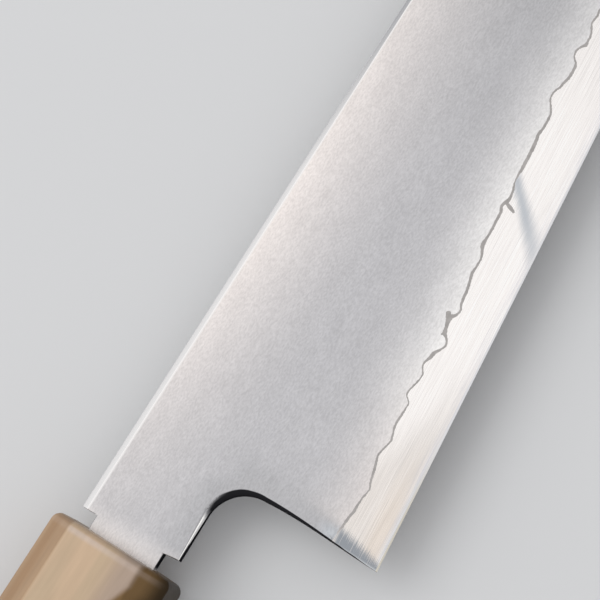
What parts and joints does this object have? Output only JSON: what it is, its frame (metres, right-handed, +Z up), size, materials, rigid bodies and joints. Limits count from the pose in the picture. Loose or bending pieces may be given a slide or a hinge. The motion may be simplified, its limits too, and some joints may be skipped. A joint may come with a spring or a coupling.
{
  "type": "gyuto kitchen knife",
  "caption": "Long double-bevel kitchen knife: laminated steel blade with a wavy cladding line, machi gap, pale horn ferrule and octagonal wooden handle.",
  "frame": {"origin": "bottom centre of the bounding box of the whole knife lying on its side, handle facet down and right face of the blade up", "axes": "+X from the handle's butt to the blade's tip, +Y from the cutting edge to the spine, +Z up out of the blade's right face"},
  "size_m": [0.3992, 0.0514, 0.0197],
  "materials": {
    "core_steel": "bright stone finish with fine scratches along the edge",
    "cladding_right": "satin, very fine bead-like grain",
    "cladding_left": "satin, very fine bead-like grain",
    "horn_ferrule": "polished blond horn with brown streaks",
    "handle_body": "fine sanded pale wood",
    "handle_dowel": "plain turned wood",
    "tang_bedding": "hard amber resin"
  },
  "bodies": {
    "root": {"core_steel": "core_steel", "cladding_right": "cladding_right", "cladding_left": "cladding_left", "horn_ferrule": "horn_ferrule", "handle_body": "handle_body", "handle_dowel": "handle_dowel", "tang_bedding": "tang_bedding"}
  },
  "joints": []
}
